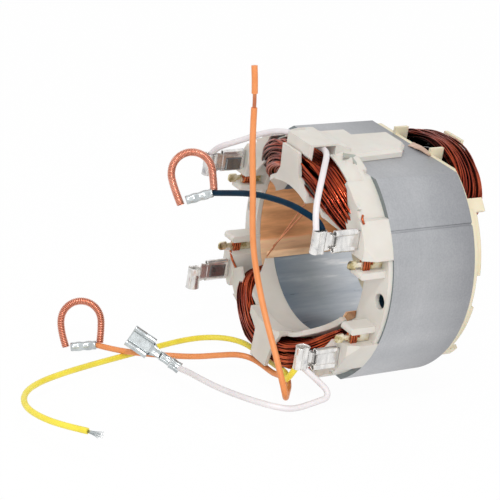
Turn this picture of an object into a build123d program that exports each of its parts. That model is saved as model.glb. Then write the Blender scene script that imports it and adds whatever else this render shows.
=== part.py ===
from build123d import *
import os
from math import cos, radians, sin, tan

# The bore axis is Y and the lead side faces -Y. The poles stand on the Z axis, above and below the bore.

# Lamination stack
bore_diameter = 57.0
stack_length = 34.0
pole_half_angle = 62.0
pole_tip_thickness = 2.5
slot_depth = 6.5
pole_neck_width = 40.0
screw_hole_diameter = 5.4
screw_edge_distance = 4.0
screw_slot_wall = 1.3
seam_angle = 31.6
seam_groove = 0.5

# Moulded end plates
moulding_clearance = 0.2
plate_thickness = 1.8
plate_side_rim = 0.6
side_sector_angle = 38.0
slot_window_wall = 2.8
saddle_width = 40.0
saddle_height = 3.7
apron_thickness = 1.6
apron_lean = 1.6
apron_depth = 13.0
apron_foot_depth = 0.6
apron_shoulder_width = 48.8
apron_shoulder_depth = 4.5
apron_crown_width = 37.6
apron_crown_chamfer = 2.0
tongue_root_width = 12.4
tongue_tip_width = 9.9
tongue_thickness = 1.3
tongue_root_step = 0.4
tongue_root_depth = 16.6
tongue_tip_depth = 18.2
tongue_tip_radius = 40.2
tongue_flare_height = 4.3
tongue_flare_widths = (8.5, 11.2)
wall_thickness = 1.5

# Front plate walls and the wings that hold the overhangs
front_wall_angles = (31.0, 57.0)
front_wall_depth = 10.4
web_angles = (56.5, 78.0)
web_depth = 8.0
web_shoulder_depth = 3.4
web_edge = 0.5
wing_angles = (31.0, 44.5)
wing_inner_radius = 35.5
wing_thickness = 1.1
wing_lobe = ((24.6, 34.3), (27.5, 26.8), (33.0, 30.5))

# Rear plate walls
rear_wall_angles = (8.0, 37.0)
rear_wall_depth = 4.2
rear_tab_angles = (37.0, 43.5)
rear_tab_depth = 8.0
rear_post_places = (-12.0, 9.4)
rear_post_thickness = 1.2
rear_post_depth = 5.7
rear_post_rise = 2.6
rear_post_height = 5.4

# Terminal blocks on the lead side
tab_plane = 36.8
tab_height = 21.5
block_height = 12.1
block_inner_gap = 2.4
block_outer_gap = 4.2
block_foot_width = 10.2
block_depth = 11.5
hook_slot_height = 4.1
lug_height = 2.5
lug_width = 6.0
lug_depth = 11.8
lug_round = 1.1

# Jumper clip that reaches forward over the upper overhang
clip_left = -5.0
clip_right = 9.5
clip_block_depth = 6.5
clip_front_depth = 16.6
clip_foot_height = 1.6
clip_back_height = 4.9
clip_top_height = 6.9
clip_roof_thickness = 0.7
clip_lip_thickness = 1.2
clip_lip_height = 1.3

# Wire duct on the upper flat
duct_height = 3.0
duct_clearance = 0.1
duct_left = -13.0
duct_step_left = -8.0
duct_step = -4.5
duct_rear = 10.3
duct_rear_right = 3.5
duct_right = 11.0
duct_shoulder_right = 9.3
duct_shoulder = 5.2
duct_chamfer = 1.2

# Windings
coil_clearance = 0.25
coil_wall_gap = 1.6
coil_rise = 3.1
coil_overhang = 13.0
coil_outline_width = 63.0
coil_corner_radius = 13.0
coil_taper_angle = 53.5
coil_taper_depth = 4.6
coil_taper_slope = 37.6
coil_layers = 4
coil_layer_step = 0.7
coil_end_angle = 1.0
crown_clearance = 0.2
crown_width = 40.0

# Slot liners
liner_thickness = 0.3
liner_gap = 0.08
liner_front_overhang = 3.0
liner_rear_overhang = 1.6
liner_fold_angle = 0.6
liner_cuff_angle = 5.0

# Tab terminals, 6.3 by 0.8
tab_width = 6.3
tab_thickness = 0.8
tab_free_length = 8.6
tab_rooted_length = 6.0
tab_bevel = 1.2
tab_end_gap = 0.05
tab_clearance = 0.1

# Receptacles that push onto the tabs
receptacle_width = 7.8
receptacle_thickness = 2.6
receptacle_length = 8.6
receptacle_sheet = 0.4
receptacle_slit = 2.4
receptacle_standoff = 1.2
neck_width = 6.2
neck_overlap = 0.6
barrel_length = 8.0
barrel_depth = 5.0
barrel_thickness = 3.8
roll_flat = 0.1
crimp_groove = 0.5
crimp_groove_end = 1.5
free_neck_length = 4.9
free_crimp_length = 4.0
wire_crimp_size = (2.8, 3.2)
sleeve_crimp_size = (3.6, 4.0)

# Winding hooks
hook_plane = 39.0
hook_sheet = 0.8
hook_base_width = 3.8
hook_base_length = 8.0
hook_neck_width = 1.6
hook_neck_length = 2.6
hook_tip_width = 3.0
hook_tip_length = 3.0
hook_clearance = 0.15

# Leads and wires
lead_diameter = 2.1
strand_diameter = 1.3
cross_wire_diameter = 0.5
arc_share = 0.45

# Brush spring rings and their crimps
ring_radius = 7.2
ring_wire_tube = 2.9
ring_plane_x = (0.51, 0.85, 0.14)
ring_plane_normal = (0.76, -0.52, 0.385)
splice_diameter = 3.4

bore_radius = bore_diameter / 2
slot_floor_radius = bore_radius + pole_tip_thickness + slot_depth
screw_radius = slot_floor_radius + screw_slot_wall + screw_hole_diameter / 2
stack_radius = screw_radius + screw_edge_distance
front_face = -stack_length / 2
flat_height = slot_floor_radius
flat_span = 2 * flat_height
coil_outer_radius = slot_floor_radius + coil_rise
crown_height = flat_height + clip_foot_height - crown_clearance
plate_front = front_face - plate_thickness
side_radius = stack_radius - plate_side_rim
corner_radius = coil_outer_radius + coil_wall_gap + wall_thickness
saddle_top = flat_height + saddle_height
apron_inner_radius = bore_radius + moulding_clearance
apron_outer_radius = apron_inner_radius + apron_thickness
crown_inner_radius = apron_inner_radius - apron_lean
root_inner_radius = apron_inner_radius - apron_lean * tongue_root_depth / apron_depth
slot_half_angle = 90.0 - pole_half_angle
block_face = front_face - block_depth
reach = 3 * stack_radius


def profile_plane(y):
    """Plane across the bore axis at y, facing the lead side."""
    return Plane(origin=(0, y, 0), x_dir=(1, 0, 0), z_dir=(0, -1, 0))


def prism(sketch, start, end):
    """Solid of an XZ profile between two places on the bore axis."""
    return extrude(profile_plane(start) * sketch, amount=start - end)


def wedge(start_angle, end_angle):
    """Triangle from the bore axis that bounds a sector."""
    low = radians(start_angle)
    high = radians(end_angle)
    corners = ((0, 0), (reach * cos(low), reach * sin(low)), (reach * cos(high), reach * sin(high)))
    return Polygon(*corners, align=None)


def ring_sector(inner, outer, start_angle, end_angle):
    return (Circle(outer) - Circle(inner)) & wedge(start_angle, end_angle)


def slot_wedges(half_angle):
    return wedge(-half_angle, half_angle) + wedge(180 - half_angle, 180 + half_angle)


def four_quadrants(solid):
    """A solid of the +X +Z quadrant with its three mirror images."""
    pair = solid + mirror(solid, about=Plane.YZ)
    return pair + mirror(pair, about=Plane.XY)


def slot_cavity(inset):
    """The two slots between yoke, pole necks and pole tips, without their openings."""
    tip_back = bore_radius + pole_tip_thickness + inset
    ring = Circle(slot_floor_radius - inset) - Circle(tip_back)
    return ring - Rectangle(pole_neck_width + 2 * inset, reach)


def screw_holes():
    hole = Circle(screw_hole_diameter / 2)
    return Pos(screw_radius, 0) * hole + Pos(-screw_radius, 0) * hole


def make_lamination_stack():
    outline = Circle(stack_radius) & Rectangle(reach, flat_span)
    pole_tips = Circle(bore_radius + pole_tip_thickness + 1) - Circle(bore_radius - 1)
    opening = pole_tips & slot_wedges(slot_half_angle)
    profile = outline - Circle(bore_radius) - slot_cavity(0) - opening - screw_holes()
    seam_x = stack_radius * cos(radians(seam_angle))
    seam_z = stack_radius * sin(radians(seam_angle))
    for side in (-1, 1):
        profile -= Pos(side * seam_x, side * seam_z) * Circle(seam_groove)
    return prism(profile, -front_face, front_face)


def make_apron():
    """Curved inner wall that keeps an upper overhang out of the bore and leans inwards."""
    crown_y = front_face - apron_depth
    section = Polyline(
        (apron_inner_radius, front_face),
        (apron_outer_radius, front_face),
        (crown_inner_radius + apron_thickness, crown_y),
        (crown_inner_radius, crown_y),
        close=True,
    )
    cone = revolve(make_face(section), Axis.Y)
    wall = cone & prism(wedge(90 - pole_half_angle, 90 + pole_half_angle), front_face, crown_y)
    foot = apron_outer_radius
    shoulder = apron_shoulder_width / 2
    crown = apron_crown_width / 2
    half = (
        (foot, 0),
        (foot, -apron_foot_depth),
        (shoulder, -apron_shoulder_depth),
        (crown, -apron_depth + apron_crown_chamfer),
        (crown - apron_crown_chamfer, -apron_depth),
    )
    outline = Polyline(*half, *((-x, y) for x, y in reversed(half)), close=True)
    return wall & extrude(Pos(0, front_face, 0) * make_face(outline), amount=reach)


def make_tongue():
    """Finger that leans out over an upper overhang, with the flared root that joins it to the apron."""
    foot = -apron_depth + apron_crown_chamfer
    root = -tongue_root_depth
    tip = -tongue_tip_depth
    lower = root_inner_radius + tongue_root_step
    upper = crown_inner_radius + apron_thickness
    side = Polyline(
        (foot, lower),
        (root, lower),
        (tip, tongue_tip_radius),
        (tip + tongue_thickness, tongue_tip_radius),
        (root + tongue_thickness, upper),
        (foot, upper),
        close=True,
    )
    root_x = tongue_root_width / 2
    tip_x = tongue_tip_width / 2
    side_plane = Plane(origin=(-root_x, front_face, 0), x_dir=(0, 1, 0), z_dir=(1, 0, 0))
    slab = extrude(side_plane * make_face(side), amount=tongue_root_width)
    foot_edge = ((-root_x, lower), (root_x, lower))
    front = Polygon(*foot_edge, (tip_x, tongue_tip_radius), (-tip_x, tongue_tip_radius), align=None)
    finger = slab & prism(front, 0, front_face + tip)
    left, right = tongue_flare_widths
    flare_top = lower + tongue_flare_height
    left_edge = ((-root_x, flare_top), (-left, lower), (-left, 0))
    right_edge = ((right, 0), (right, lower), (root_x, flare_top))
    skirt = Polygon(*left_edge, *right_edge, align=None)
    front_y = front_face + root
    sheet = prism(skirt - Circle(root_inner_radius), front_y + tongue_thickness, front_y)
    shoe = prism(skirt & (Circle(upper) - Circle(root_inner_radius)), front_face + foot, front_y)
    return finger + sheet + shoe


def make_outer_wall(angles, depth):
    """Stretch of the outer retaining wall in the +X +Z quadrant, no higher than the saddle."""
    sector = ring_sector(corner_radius - wall_thickness, corner_radius, *angles)
    return prism(sector & Rectangle(reach, 2 * saddle_top), plate_front, front_face - depth)


def make_plate_body(saddle_rise):
    """Base ring, aprons and tongues of an end plate on the lead side; its saddles rise above the flats."""
    sides = Circle(side_radius) & slot_wedges(side_sector_angle)
    saddles = Rectangle(saddle_width, flat_span + 2 * saddle_rise)
    corners = Circle(corner_radius) & (Rectangle(reach, flat_span) + saddles)
    base = corners + sides - Circle(apron_inner_radius)
    base -= slot_cavity(moulding_clearance) - slot_wedges(slot_half_angle)
    base -= Circle(bore_radius + slot_window_wall) & slot_wedges(slot_half_angle)
    body = prism(base - screw_holes(), front_face, plate_front)
    inner_wall = make_apron() + make_tongue()
    return body + inner_wall + Rot(0, 180, 0) * inner_wall


def make_web():
    """Lower stretch of the outer wall beside the pole, hollowed towards its front edge."""
    inner = coil_outer_radius + coil_clearance
    front = front_face - web_depth
    shoulder = front_face - web_shoulder_depth
    edge = inner + web_edge
    hollow = ((edge + corner_radius) / 2 - web_edge, (front + shoulder) / 2 + web_edge)
    side = Polyline(
        (corner_radius, shoulder),
        (corner_radius, plate_front),
        (inner, plate_front),
        (inner, front),
        (edge, front),
    )
    face = make_face(side + ThreePointArc((edge, front), hollow, (corner_radius, shoulder)))
    limit = wedge(*web_angles) & Rectangle(reach, 2 * saddle_top)
    return revolve(face, Axis.Y) & prism(limit, 0, front)


def wing_profile():
    sector = ring_sector(wing_inner_radius, corner_radius - wall_thickness / 2, *wing_angles)
    return sector + Polygon(*wing_lobe, align=None)


def make_wing():
    """Tab in front of an overhang, beside a terminal block."""
    wing_front = front_face - front_wall_depth
    return prism(wing_profile(), wing_front + wing_thickness, wing_front)


def make_terminal_mount():
    """Block, hook slot and lug for the terminals at +X and +Z."""
    inner = tab_plane - block_inner_gap
    outer = tab_plane + block_outer_gap
    bottom = tab_height - block_height / 2
    side = Polyline(
        (inner, front_face),
        (inner + block_foot_width, front_face),
        (inner + block_foot_width, plate_front),
        (outer, block_face),
        (inner, block_face),
        close=True,
    )
    block = extrude(Pos(0, 0, bottom) * make_face(side), amount=block_height)
    block &= prism(Circle(stack_radius), front_face, block_face)
    lug = Box(lug_width, lug_depth, lug_height, align=(Align.MAX, Align.MAX, Align.MAX))
    lug = fillet(lug.edges().group_by(Axis.Y)[0].filter_by(Axis.X), lug_round)
    return block + Pos(outer + lug_width / 6, front_face, bottom - hook_slot_height) * lug


def make_tab_slot():
    size = (tab_thickness + 2 * tab_clearance, 2 * tab_rooted_length, tab_width + 2 * tab_clearance)
    return Pos(tab_plane, block_face, tab_height) * Box(*size)


def make_clip():
    """Hooked arm over the upper overhang that the jumper passes under."""
    block = -clip_block_depth
    front = -clip_front_depth
    roof = clip_top_height - clip_roof_thickness
    side = Polyline(
        (0, clip_foot_height),
        (block, clip_foot_height),
        (block, roof),
        (front + clip_lip_thickness, roof),
        (front + clip_lip_thickness, clip_lip_height),
        (front, clip_lip_height + clip_lip_thickness),
        (front, clip_top_height),
        (block, clip_top_height),
        (0, clip_back_height),
        close=True,
    )
    side_plane = Plane(origin=(clip_left, front_face, flat_height), x_dir=(0, 1, 0), z_dir=(1, 0, 0))
    return extrude(side_plane * make_face(side), amount=clip_right - clip_left)


def make_front_end_plate():
    plate = make_plate_body(saddle_height)
    left_window = Circle(slot_floor_radius) & wedge(180 - slot_half_angle, 180 + slot_half_angle)
    plate -= prism(left_window, front_face, plate_front)
    quadrant = make_outer_wall(front_wall_angles, front_wall_depth) + make_web() + make_wing()
    quadrant += make_terminal_mount()
    return plate + four_quadrants(quadrant - make_tab_slot()) + make_clip()


def make_rear_posts(clearance):
    """Two fins that part the strands of the upper rear overhang, drawn on the lead side."""
    size = (rear_post_thickness + 2 * clearance, rear_post_depth + clearance, rear_post_height + 2 * clearance)
    post = Box(*size, align=(Align.CENTER, Align.MAX, Align.MAX))
    left, right = (Pos(x, front_face, flat_height + rear_post_rise + clearance) * post for x in rear_post_places)
    return left + right


def make_rear_end_plate():
    quadrant = make_outer_wall(rear_wall_angles, rear_wall_depth)
    quadrant += make_outer_wall(rear_tab_angles, rear_tab_depth)
    posts = make_rear_posts(0)
    plate = make_plate_body(0) + four_quadrants(quadrant) + posts + Rot(0, 180, 0) * posts
    return mirror(plate, about=Plane.XZ)


def make_wire_duct():
    """Moulded channel along the upper flat, behind the front plate."""
    outline = Polyline(
        (duct_left, front_face),
        (duct_right, front_face),
        (duct_shoulder_right, duct_shoulder),
        (duct_rear_right, duct_rear),
        (duct_step_left, duct_rear),
        (duct_step_left, duct_step),
        (duct_left, duct_step),
        close=True,
    )
    duct = extrude(Pos(0, 0, flat_height + duct_clearance) * make_face(outline), amount=duct_height)
    top = duct.faces().sort_by(Axis.Z)[-1]
    return chamfer(top.edges().sort_by(Axis.Y)[1:], duct_chamfer)


def make_coil():
    """Upper winding: layers of rounded loops round the pole neck, bent to the bore's curve."""
    inner_x = pole_neck_width / 2 + coil_clearance + liner_thickness + liner_gap
    inner_y = stack_length / 2 + plate_thickness + coil_clearance
    depth_per_layer = coil_overhang / coil_layers
    width_per_layer = (coil_outline_width / 2 - inner_x) / coil_layers
    opening = RectangleRounded(2 * inner_x, 2 * inner_y, coil_clearance * 4)
    layers = []
    for layer in range(1, coil_layers + 1):
        half_x = inner_x + width_per_layer * layer
        half_y = inner_y + depth_per_layer * layer
        track = RectangleRounded(2 * half_x, 2 * half_y, coil_corner_radius * layer / coil_layers) - opening
        height = coil_outer_radius - coil_layer_step * (layer - 1)
        first = 90 - pole_half_angle + coil_end_angle
        sector = ring_sector(apron_outer_radius + coil_clearance, height, first, 180 - first)
        layers.append(extrude(track, amount=reach) & prism(sector, reach / 2, -reach / 2))
    coil = layers[0] + layers[1:]
    slot_room = prism(slot_cavity(coil_clearance + liner_thickness + liner_gap), reach / 2, -reach / 2)
    coil -= Box(reach, 2 * inner_y, reach) - slot_room
    above_crown = Box(crown_width, reach, reach, align=(Align.CENTER, Align.CENTER, Align.MIN))
    coil -= Pos(0, 0, crown_height) * above_crown
    taper_x = coil_outer_radius * sin(radians(coil_taper_angle))
    taper_z = coil_outer_radius * cos(radians(coil_taper_angle))
    slope = radians(coil_taper_slope)
    across = Vector(cos(radians(coil_taper_angle)), 0, -sin(radians(coil_taper_angle)))
    normal = across * sin(slope) + Vector(0, -1, 0) * cos(slope)
    taper_plane = Plane(origin=(taper_x, front_face - coil_taper_depth, taper_z), z_dir=normal)
    corner = taper_plane * Box(reach, reach, reach, align=(Align.CENTER, Align.CENTER, Align.MIN))
    front_corners = corner + mirror(corner, about=Plane.YZ)
    coil -= front_corners + mirror(front_corners, about=Plane.XZ)
    wing_back = front_face - front_wall_depth + wing_thickness + coil_clearance
    wing_room = prism(offset(wing_profile(), coil_clearance), wing_back, -reach)
    coil -= wing_room + mirror(wing_room, about=Plane.YZ)
    return coil - mirror(make_rear_posts(coil_clearance), about=Plane.XZ)


def make_slot_liner():
    """Paper round the +X slot, folded round the lower pole tip and longer there."""
    bore_side = bore_radius - liner_gap
    tip_back = bore_radius + pole_tip_thickness + liner_gap
    fold_start = -slot_half_angle + liner_gap
    fold_end = fold_start + liner_fold_angle
    walls = slot_cavity(liner_gap) - slot_cavity(liner_gap + liner_thickness)
    sheet = walls & wedge(-pole_half_angle, pole_half_angle)
    sheet -= Circle(tip_back + 2 * liner_thickness) & wedge(fold_end, slot_half_angle)
    sheet += ring_sector(bore_side, tip_back + liner_thickness, fold_start, fold_end)
    cuff = ring_sector(bore_side - liner_thickness, bore_side, fold_start, fold_start + liner_cuff_angle)
    inside = prism(sheet + cuff, -front_face, front_face)
    return inside + prism(cuff, -front_face + liner_rear_overhang, front_face - liner_front_overhang)


def make_tab_terminal():
    """Flat tab in the block at +X +Z, with a bevelled tip."""
    length = tab_rooted_length + tab_free_length
    tab = Box(tab_thickness, length, tab_width, align=(Align.CENTER, Align.MAX, Align.CENTER))
    tab = chamfer(tab.edges().group_by(Axis.Y)[0].filter_by(Axis.X), tab_bevel)
    return Pos(tab_plane, block_face + tab_rooted_length - tab_end_gap, tab_height) * tab


def make_receptacle_body(neck):
    """Rolled receptacle that opens towards +Y at its origin, slit on its +X side."""
    shell = RectangleRounded(receptacle_thickness, receptacle_width, receptacle_thickness / 2 - roll_flat)
    mouth = Rectangle(tab_thickness + 2 * tab_clearance, tab_width + 2 * tab_clearance)
    slit = Pos(receptacle_thickness / 2, 0) * Rectangle(receptacle_thickness, receptacle_slit)
    body = prism(shell - mouth - slit, 0, -receptacle_length)
    strip = Box(receptacle_sheet, neck, neck_width, align=(Align.MIN, Align.MAX, Align.CENTER))
    return body + Pos(-receptacle_thickness / 2, -receptacle_length, 0) * strip


def make_flag_receptacle(barrel_shift, neck):
    """Receptacle with its crimp barrel across the tab, on the tab at +X +Z."""
    barrel_y = -receptacle_length - neck - barrel_depth / 2 + neck_overlap
    section = RectangleRounded(barrel_thickness, barrel_depth, barrel_thickness / 2 - roll_flat)
    barrel = extrude(Pos(0, barrel_y, -barrel_length / 2) * section, amount=barrel_length)
    groove = Box(2 * crimp_groove, 2 * crimp_groove, barrel_length - 2 * crimp_groove_end)
    barrel -= Pos(barrel_thickness / 2, barrel_y, 0) * groove
    receptacle = make_receptacle_body(neck) + Pos(0, 0, barrel_shift) * barrel
    return Pos(tab_plane, block_face - receptacle_standoff, tab_height) * receptacle


def make_free_receptacle():
    """Straight receptacle with its wire crimp and insulation crimp in line."""
    start = -receptacle_length - free_neck_length + neck_overlap
    wire_crimp = RectangleRounded(*wire_crimp_size, min(wire_crimp_size) / 2 - roll_flat)
    sleeve_crimp = RectangleRounded(*sleeve_crimp_size, min(sleeve_crimp_size) / 2 - roll_flat)
    receptacle = make_receptacle_body(free_neck_length)
    receptacle += prism(wire_crimp, start, start - free_crimp_length)
    return receptacle + prism(sleeve_crimp, start - free_crimp_length, start - 2 * free_crimp_length)


def make_hook_terminal():
    """Winding hook that stands in the slot between block and lug at +X +Z."""
    base_y = plate_front - hook_clearance
    neck_y = base_y - hook_base_length
    tip_y = neck_y - hook_neck_length
    middle = tab_height - block_height / 2 - hook_slot_height / 2
    front_of = (Align.CENTER, Align.MAX, Align.CENTER)
    base = Pos(0, base_y, 0) * Box(hook_sheet, hook_base_length, hook_base_width, align=front_of)
    neck = Pos(0, neck_y, 0) * Box(hook_sheet, hook_neck_length, hook_neck_width, align=front_of)
    tip = Pos(0, tip_y, 0) * Box(hook_sheet, hook_tip_length, hook_tip_width, align=front_of)
    tip = fillet(tip.edges().group_by(Axis.Y)[0].filter_by(Axis.X), hook_tip_width / 3)
    return Pos(hook_plane, 0, middle) * (base + neck + tip)


def to_corner(solid, corner):
    """Image of an upper right solid at another corner of the front plate."""
    if corner == "upper_right":
        return solid
    if corner == "lower_left":
        return Rot(0, 180, 0) * solid
    return mirror(solid, about=Plane.YZ if corner == "upper_left" else Plane.XY)


def corner_radii(points):
    """The largest radius that each corner's shorter run allows."""
    radii = []
    for before, corner, after in zip(points, points[1:], points[2:]):
        first = Vector(*corner) - Vector(*before)
        second = Vector(*after) - Vector(*corner)
        half_turn = radians(first.get_angle(second)) / 2
        radii.append(arc_share * min(first.length, second.length) / tan(half_turn))
    return radii


def make_tube(name, points, diameter):
    """Round tube along straight runs joined by tangent arcs."""
    radii = corner_radii(points)
    path = FilletPolyline(*points, radius=radii)
    start = Plane(origin=path @ 0, z_dir=path % 0)
    tube = sweep(start * Circle(diameter / 2), path=path)
    section = Circle(diameter / 2).area
    print(name, "radii", [round(r, 1) for r in radii], "volume share", round(tube.volume / section / path.length, 4))
    return tube


jumper_points = [
    (-36.8, -42.7, 24.5), (-34.9, -42.2, 27.0), (-31.9, -40.8, 29.4), (-28.9, -38.2, 31.6), (-25.2, -35.0, 34.5),
    (-21.8, -32.3, 37.1), (-16.6, -30.2, 39.8), (-9.7, -28.7, 41.6), (-1.5, -28.1, 42.0), (4.4, -27.6, 42.2),
    (10.0, -27.9, 42.6), (16.0, -31.4, 43.2), (21.4, -35.6, 42.4), (27.0, -40.0, 39.4), (31.4, -43.7, 34.4),
    (34.8, -45.7, 29.9), (36.8, -46.0, 26.3),
]
navy_points = [
    (36.8, -43.5, 26.3), (34.8, -43.8, 28.3), (31.6, -44.9, 28.9), (24.3, -46.5, 29.5), (16.1, -47.0, 28.4),
    (4.6, -48.0, 25.9), (-4.6, -48.5, 22.8), (-12.4, -49.0, 19.7), (-21.2, -49.7, 16.2),
]
orange_points = [
    (-36.4, -79.7, -46.4), (-29.9, -77.0, -45.2), (-21.9, -72.0, -43.4), (-15.5, -62.3, -42.6), (-12.4, -53.0, -42.8),
    (-11.0, -44.4, -42.6), (-9.6, -37.2, -42.5), (-6.6, -32.6, -43.2), (-1.4, -30.6, -44.2), (3.8, -30.4, -44.2),
    (8.4, -30.3, -43.0), (12.6, -31.2, -41.2), (17.2, -33.4, -39.2), (22.6, -36.6, -37.6), (28.0, -40.2, -36.2),
    (33.3, -44.4, -35.2), (37.8, -47.8, -34.2), (39.6, -49.6, -31.8), (38.8, -50.4, -28.6), (36.0, -51.0, -24.0),
    (31.7, -51.2, -18.6), (25.8, -51.4, -12.2), (20.5, -51.6, -5.4), (16.1, -52.0, 1.9), (12.2, -52.3, 9.4),
    (9.9, -52.6, 17.5), (8.5, -53.0, 26.1), (6.4, -53.4, 36.0), (4.4, -54.0, 45.8), (3.3, -54.4, 56.8),
]
orange_strand_points = [(3.3, -54.4, 56.8), (3.06, -54.49, 59.2), (2.8, -54.7, 61.6)]
orange_sleeve_points = [(2.8, -54.7, 61.6), (2.28, -55.12, 66.4), (1.3, -55.4, 70.7)]
yellow_points = [
    (36.8, -45.0, -23.6), (35.9, -46.2, -27.0), (33.0, -45.8, -30.0), (28.6, -42.8, -31.6), (23.0, -38.8, -33.6),
    (16.8, -34.2, -37.2), (9.6, -30.6, -39.9), (0.6, -27.6, -43.0), (-11.0, -26.4, -44.6), (-21.5, -26.4, -45.2),
    (-29.0, -30.2, -46.2), (-32.6, -37.6, -46.8), (-33.0, -46.0, -47.1), (-31.5, -56.3, -47.3), (-28.0, -70.5, -47.1),
    (-22.6, -86.3, -45.7), (-16.5, -100.5, -43.9), (-12.4, -110.1, -43.1), (-9.1, -116.3, -42.6),
    (-4.1, -122.5, -41.7), (3.2, -127.6, -40.3), (11.7, -130.4, -38.9), (21.2, -130.2, -37.2), (30.4, -127.4, -35.6),
    (38.8, -122.4, -34.1),
]
yellow_strand_points = [(38.8, -122.4, -34.1), (41.3, -120.91, -33.65), (44.2, -119.9, -33.2)]
white_points = [
    (36.8, -42.4, -23.6), (38.6, -39.9, -25.8), (41.0, -37.5, -28.0), (43.7, -35.5, -30.1), (45.2, -36.5, -31.9),
    (45.4, -39.6, -32.4), (45.2, -43.0, -33.2), (45.0, -46.7, -34.0), (44.2, -50.2, -34.5), (42.2, -53.6, -34.4),
    (39.0, -57.0, -34.3), (33.6, -59.3, -35.1), (23.8, -61.7, -36.9), (15.0, -63.0, -38.4), (6.6, -63.4, -39.8),
    (-1.0, -63.2, -41.4), (-5.3, -63.5, -42.4),
]
cross_wire_routes = [
    [(-6.4, -20.2, 16.8), (-15.6, -20.4, 1.9), (-24.6, -20.6, -12.2)],
    [(-5.4, -20.8, 13.4), (-13.5, -20.9, 2.8), (-21.2, -21.0, -6.8)],
]


def make_spring_ring(centre, leg_ends, splice_start, splice_end):
    """Horseshoe tube of a looped spring with its splice barrel, given in the ring's own plane."""
    place = Plane(origin=centre, x_dir=ring_plane_x, z_dir=ring_plane_normal)
    left_end, right_end = leg_ends
    path = Polyline(left_end, (-ring_radius, -1.5), (-ring_radius, 0))
    arch = ThreePointArc((-ring_radius, 0), (0, ring_radius), (ring_radius, 0))
    right = Polyline((ring_radius, 0), (ring_radius, -1.0), right_end)
    wire = Wire([*path.edges(), *arch.edges(), *right.edges()])
    start = Plane(origin=wire @ 0, z_dir=wire % 0)
    ring = sweep(start * Circle(ring_wire_tube / 2), path=wire, transition=Transition.ROUND)
    axis = Line(splice_start, splice_end)
    barrel = sweep(Plane(origin=axis @ 0, z_dir=axis % 0) * Circle(splice_diameter / 2), path=axis)
    return place * ring, place * barrel


nodes = {}
nodes["lamination_stack"] = make_lamination_stack()
nodes["front_end_plate"] = make_front_end_plate()
nodes["rear_end_plate"] = make_rear_end_plate()
nodes["wire_duct"] = make_wire_duct()
nodes["upper_field_coil"] = make_coil()
nodes["lower_field_coil"] = Rot(0, 180, 0) * nodes["upper_field_coil"]
nodes["right_slot_liner"] = make_slot_liner()
nodes["left_slot_liner"] = mirror(nodes["right_slot_liner"], about=Plane.YZ)

# Terminals at the four blocks, each with the shift of its barrel and the length of its neck
barrels = {
    "upper_right": (0.9, 4.5),
    "lower_right": (-1.8, 3.5),
    "lower_left": (2.4, 2.5),
    "upper_left": (-1.0, 2.5),
}
for corner, (shift, neck) in barrels.items():
    nodes[f"{corner}_tab_terminal"] = to_corner(make_tab_terminal(), corner)
    nodes[f"{corner}_flag_receptacle"] = to_corner(make_flag_receptacle(shift, neck), corner)
    nodes[f"{corner}_hook_terminal"] = to_corner(make_hook_terminal(), corner)

nodes["jumper_lead"] = make_tube("jumper_lead", jumper_points, lead_diameter)
nodes["navy_lead"] = make_tube("navy_lead", navy_points, lead_diameter)
nodes["orange_lead"] = make_tube("orange_lead", orange_points, lead_diameter)
nodes["orange_strands"] = make_tube("orange_strands", orange_strand_points, strand_diameter)
nodes["orange_end_sleeve"] = make_tube("orange_end_sleeve", orange_sleeve_points, lead_diameter)
nodes["yellow_lead"] = make_tube("yellow_lead", yellow_points, lead_diameter)
nodes["yellow_strands"] = make_tube("yellow_strands", yellow_strand_points, strand_diameter)
nodes["white_lead"] = make_tube("white_lead", white_points, lead_diameter)
nodes["first_cross_wire"] = make_tube("first_cross_wire", cross_wire_routes[0], cross_wire_diameter)
nodes["second_cross_wire"] = make_tube("second_cross_wire", cross_wire_routes[1], cross_wire_diameter)

upper_ring = make_spring_ring((-27.9, -55.2, 21.6), ((-3.9, -11.2), (7.9, -4.9)), (-2.1, -9.6), (7.2, -7.0))
nodes["upper_spring_ring"], nodes["upper_splice"] = upper_ring
lower_ring = make_spring_ring((-42.8, -83.8, -39.3), ((-5.4, -9.3), (7.0, -6.8)), (-3.6, -9.3), (5.4, -8.6))
nodes["lower_spring_ring"], nodes["lower_splice"] = lower_ring

receptacle_place = Plane(origin=(-19.9, -76.3, -34.8), x_dir=ring_plane_normal, z_dir=(0.04, -0.55, -0.83))
nodes["free_receptacle"] = receptacle_place * make_free_receptacle()

os.makedirs("parts", exist_ok=True)
for name, solid in nodes.items():
    export_step(solid, f"parts/{name}.step")
    print(name, len(solid.solids()), round(solid.volume))
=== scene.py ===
import math
import random

import bpy
from mathutils import Matrix, Vector, noise


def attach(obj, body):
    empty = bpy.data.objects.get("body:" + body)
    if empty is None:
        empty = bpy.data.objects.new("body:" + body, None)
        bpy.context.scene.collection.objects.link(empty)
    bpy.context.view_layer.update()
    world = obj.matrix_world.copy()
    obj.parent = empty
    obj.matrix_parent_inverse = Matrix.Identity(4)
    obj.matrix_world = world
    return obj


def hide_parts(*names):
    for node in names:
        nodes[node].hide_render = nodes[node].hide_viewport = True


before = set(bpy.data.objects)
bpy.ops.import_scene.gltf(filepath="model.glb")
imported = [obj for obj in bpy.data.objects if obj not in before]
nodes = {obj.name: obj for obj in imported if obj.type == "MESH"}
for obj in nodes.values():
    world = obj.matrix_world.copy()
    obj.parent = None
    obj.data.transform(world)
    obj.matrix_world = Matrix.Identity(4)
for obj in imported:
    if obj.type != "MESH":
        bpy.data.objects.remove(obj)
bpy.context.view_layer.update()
scene = bpy.context.scene
MM = 0.001

# Camera at the photograph's viewing angle, with its place in millimetres
CAMERA_PLACE = (490.163, -381.06, 250.734)
CAMERA_RIGHT = (0.51099, 0.84829, 0.13891)
CAMERA_UP = (-0.39853, 0.09061, 0.91267)
CAMERA_BACK = (0.76162, -0.52172, 0.38437)
SENSOR_WIDTH = 36.0
LENS = 135.38


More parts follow.
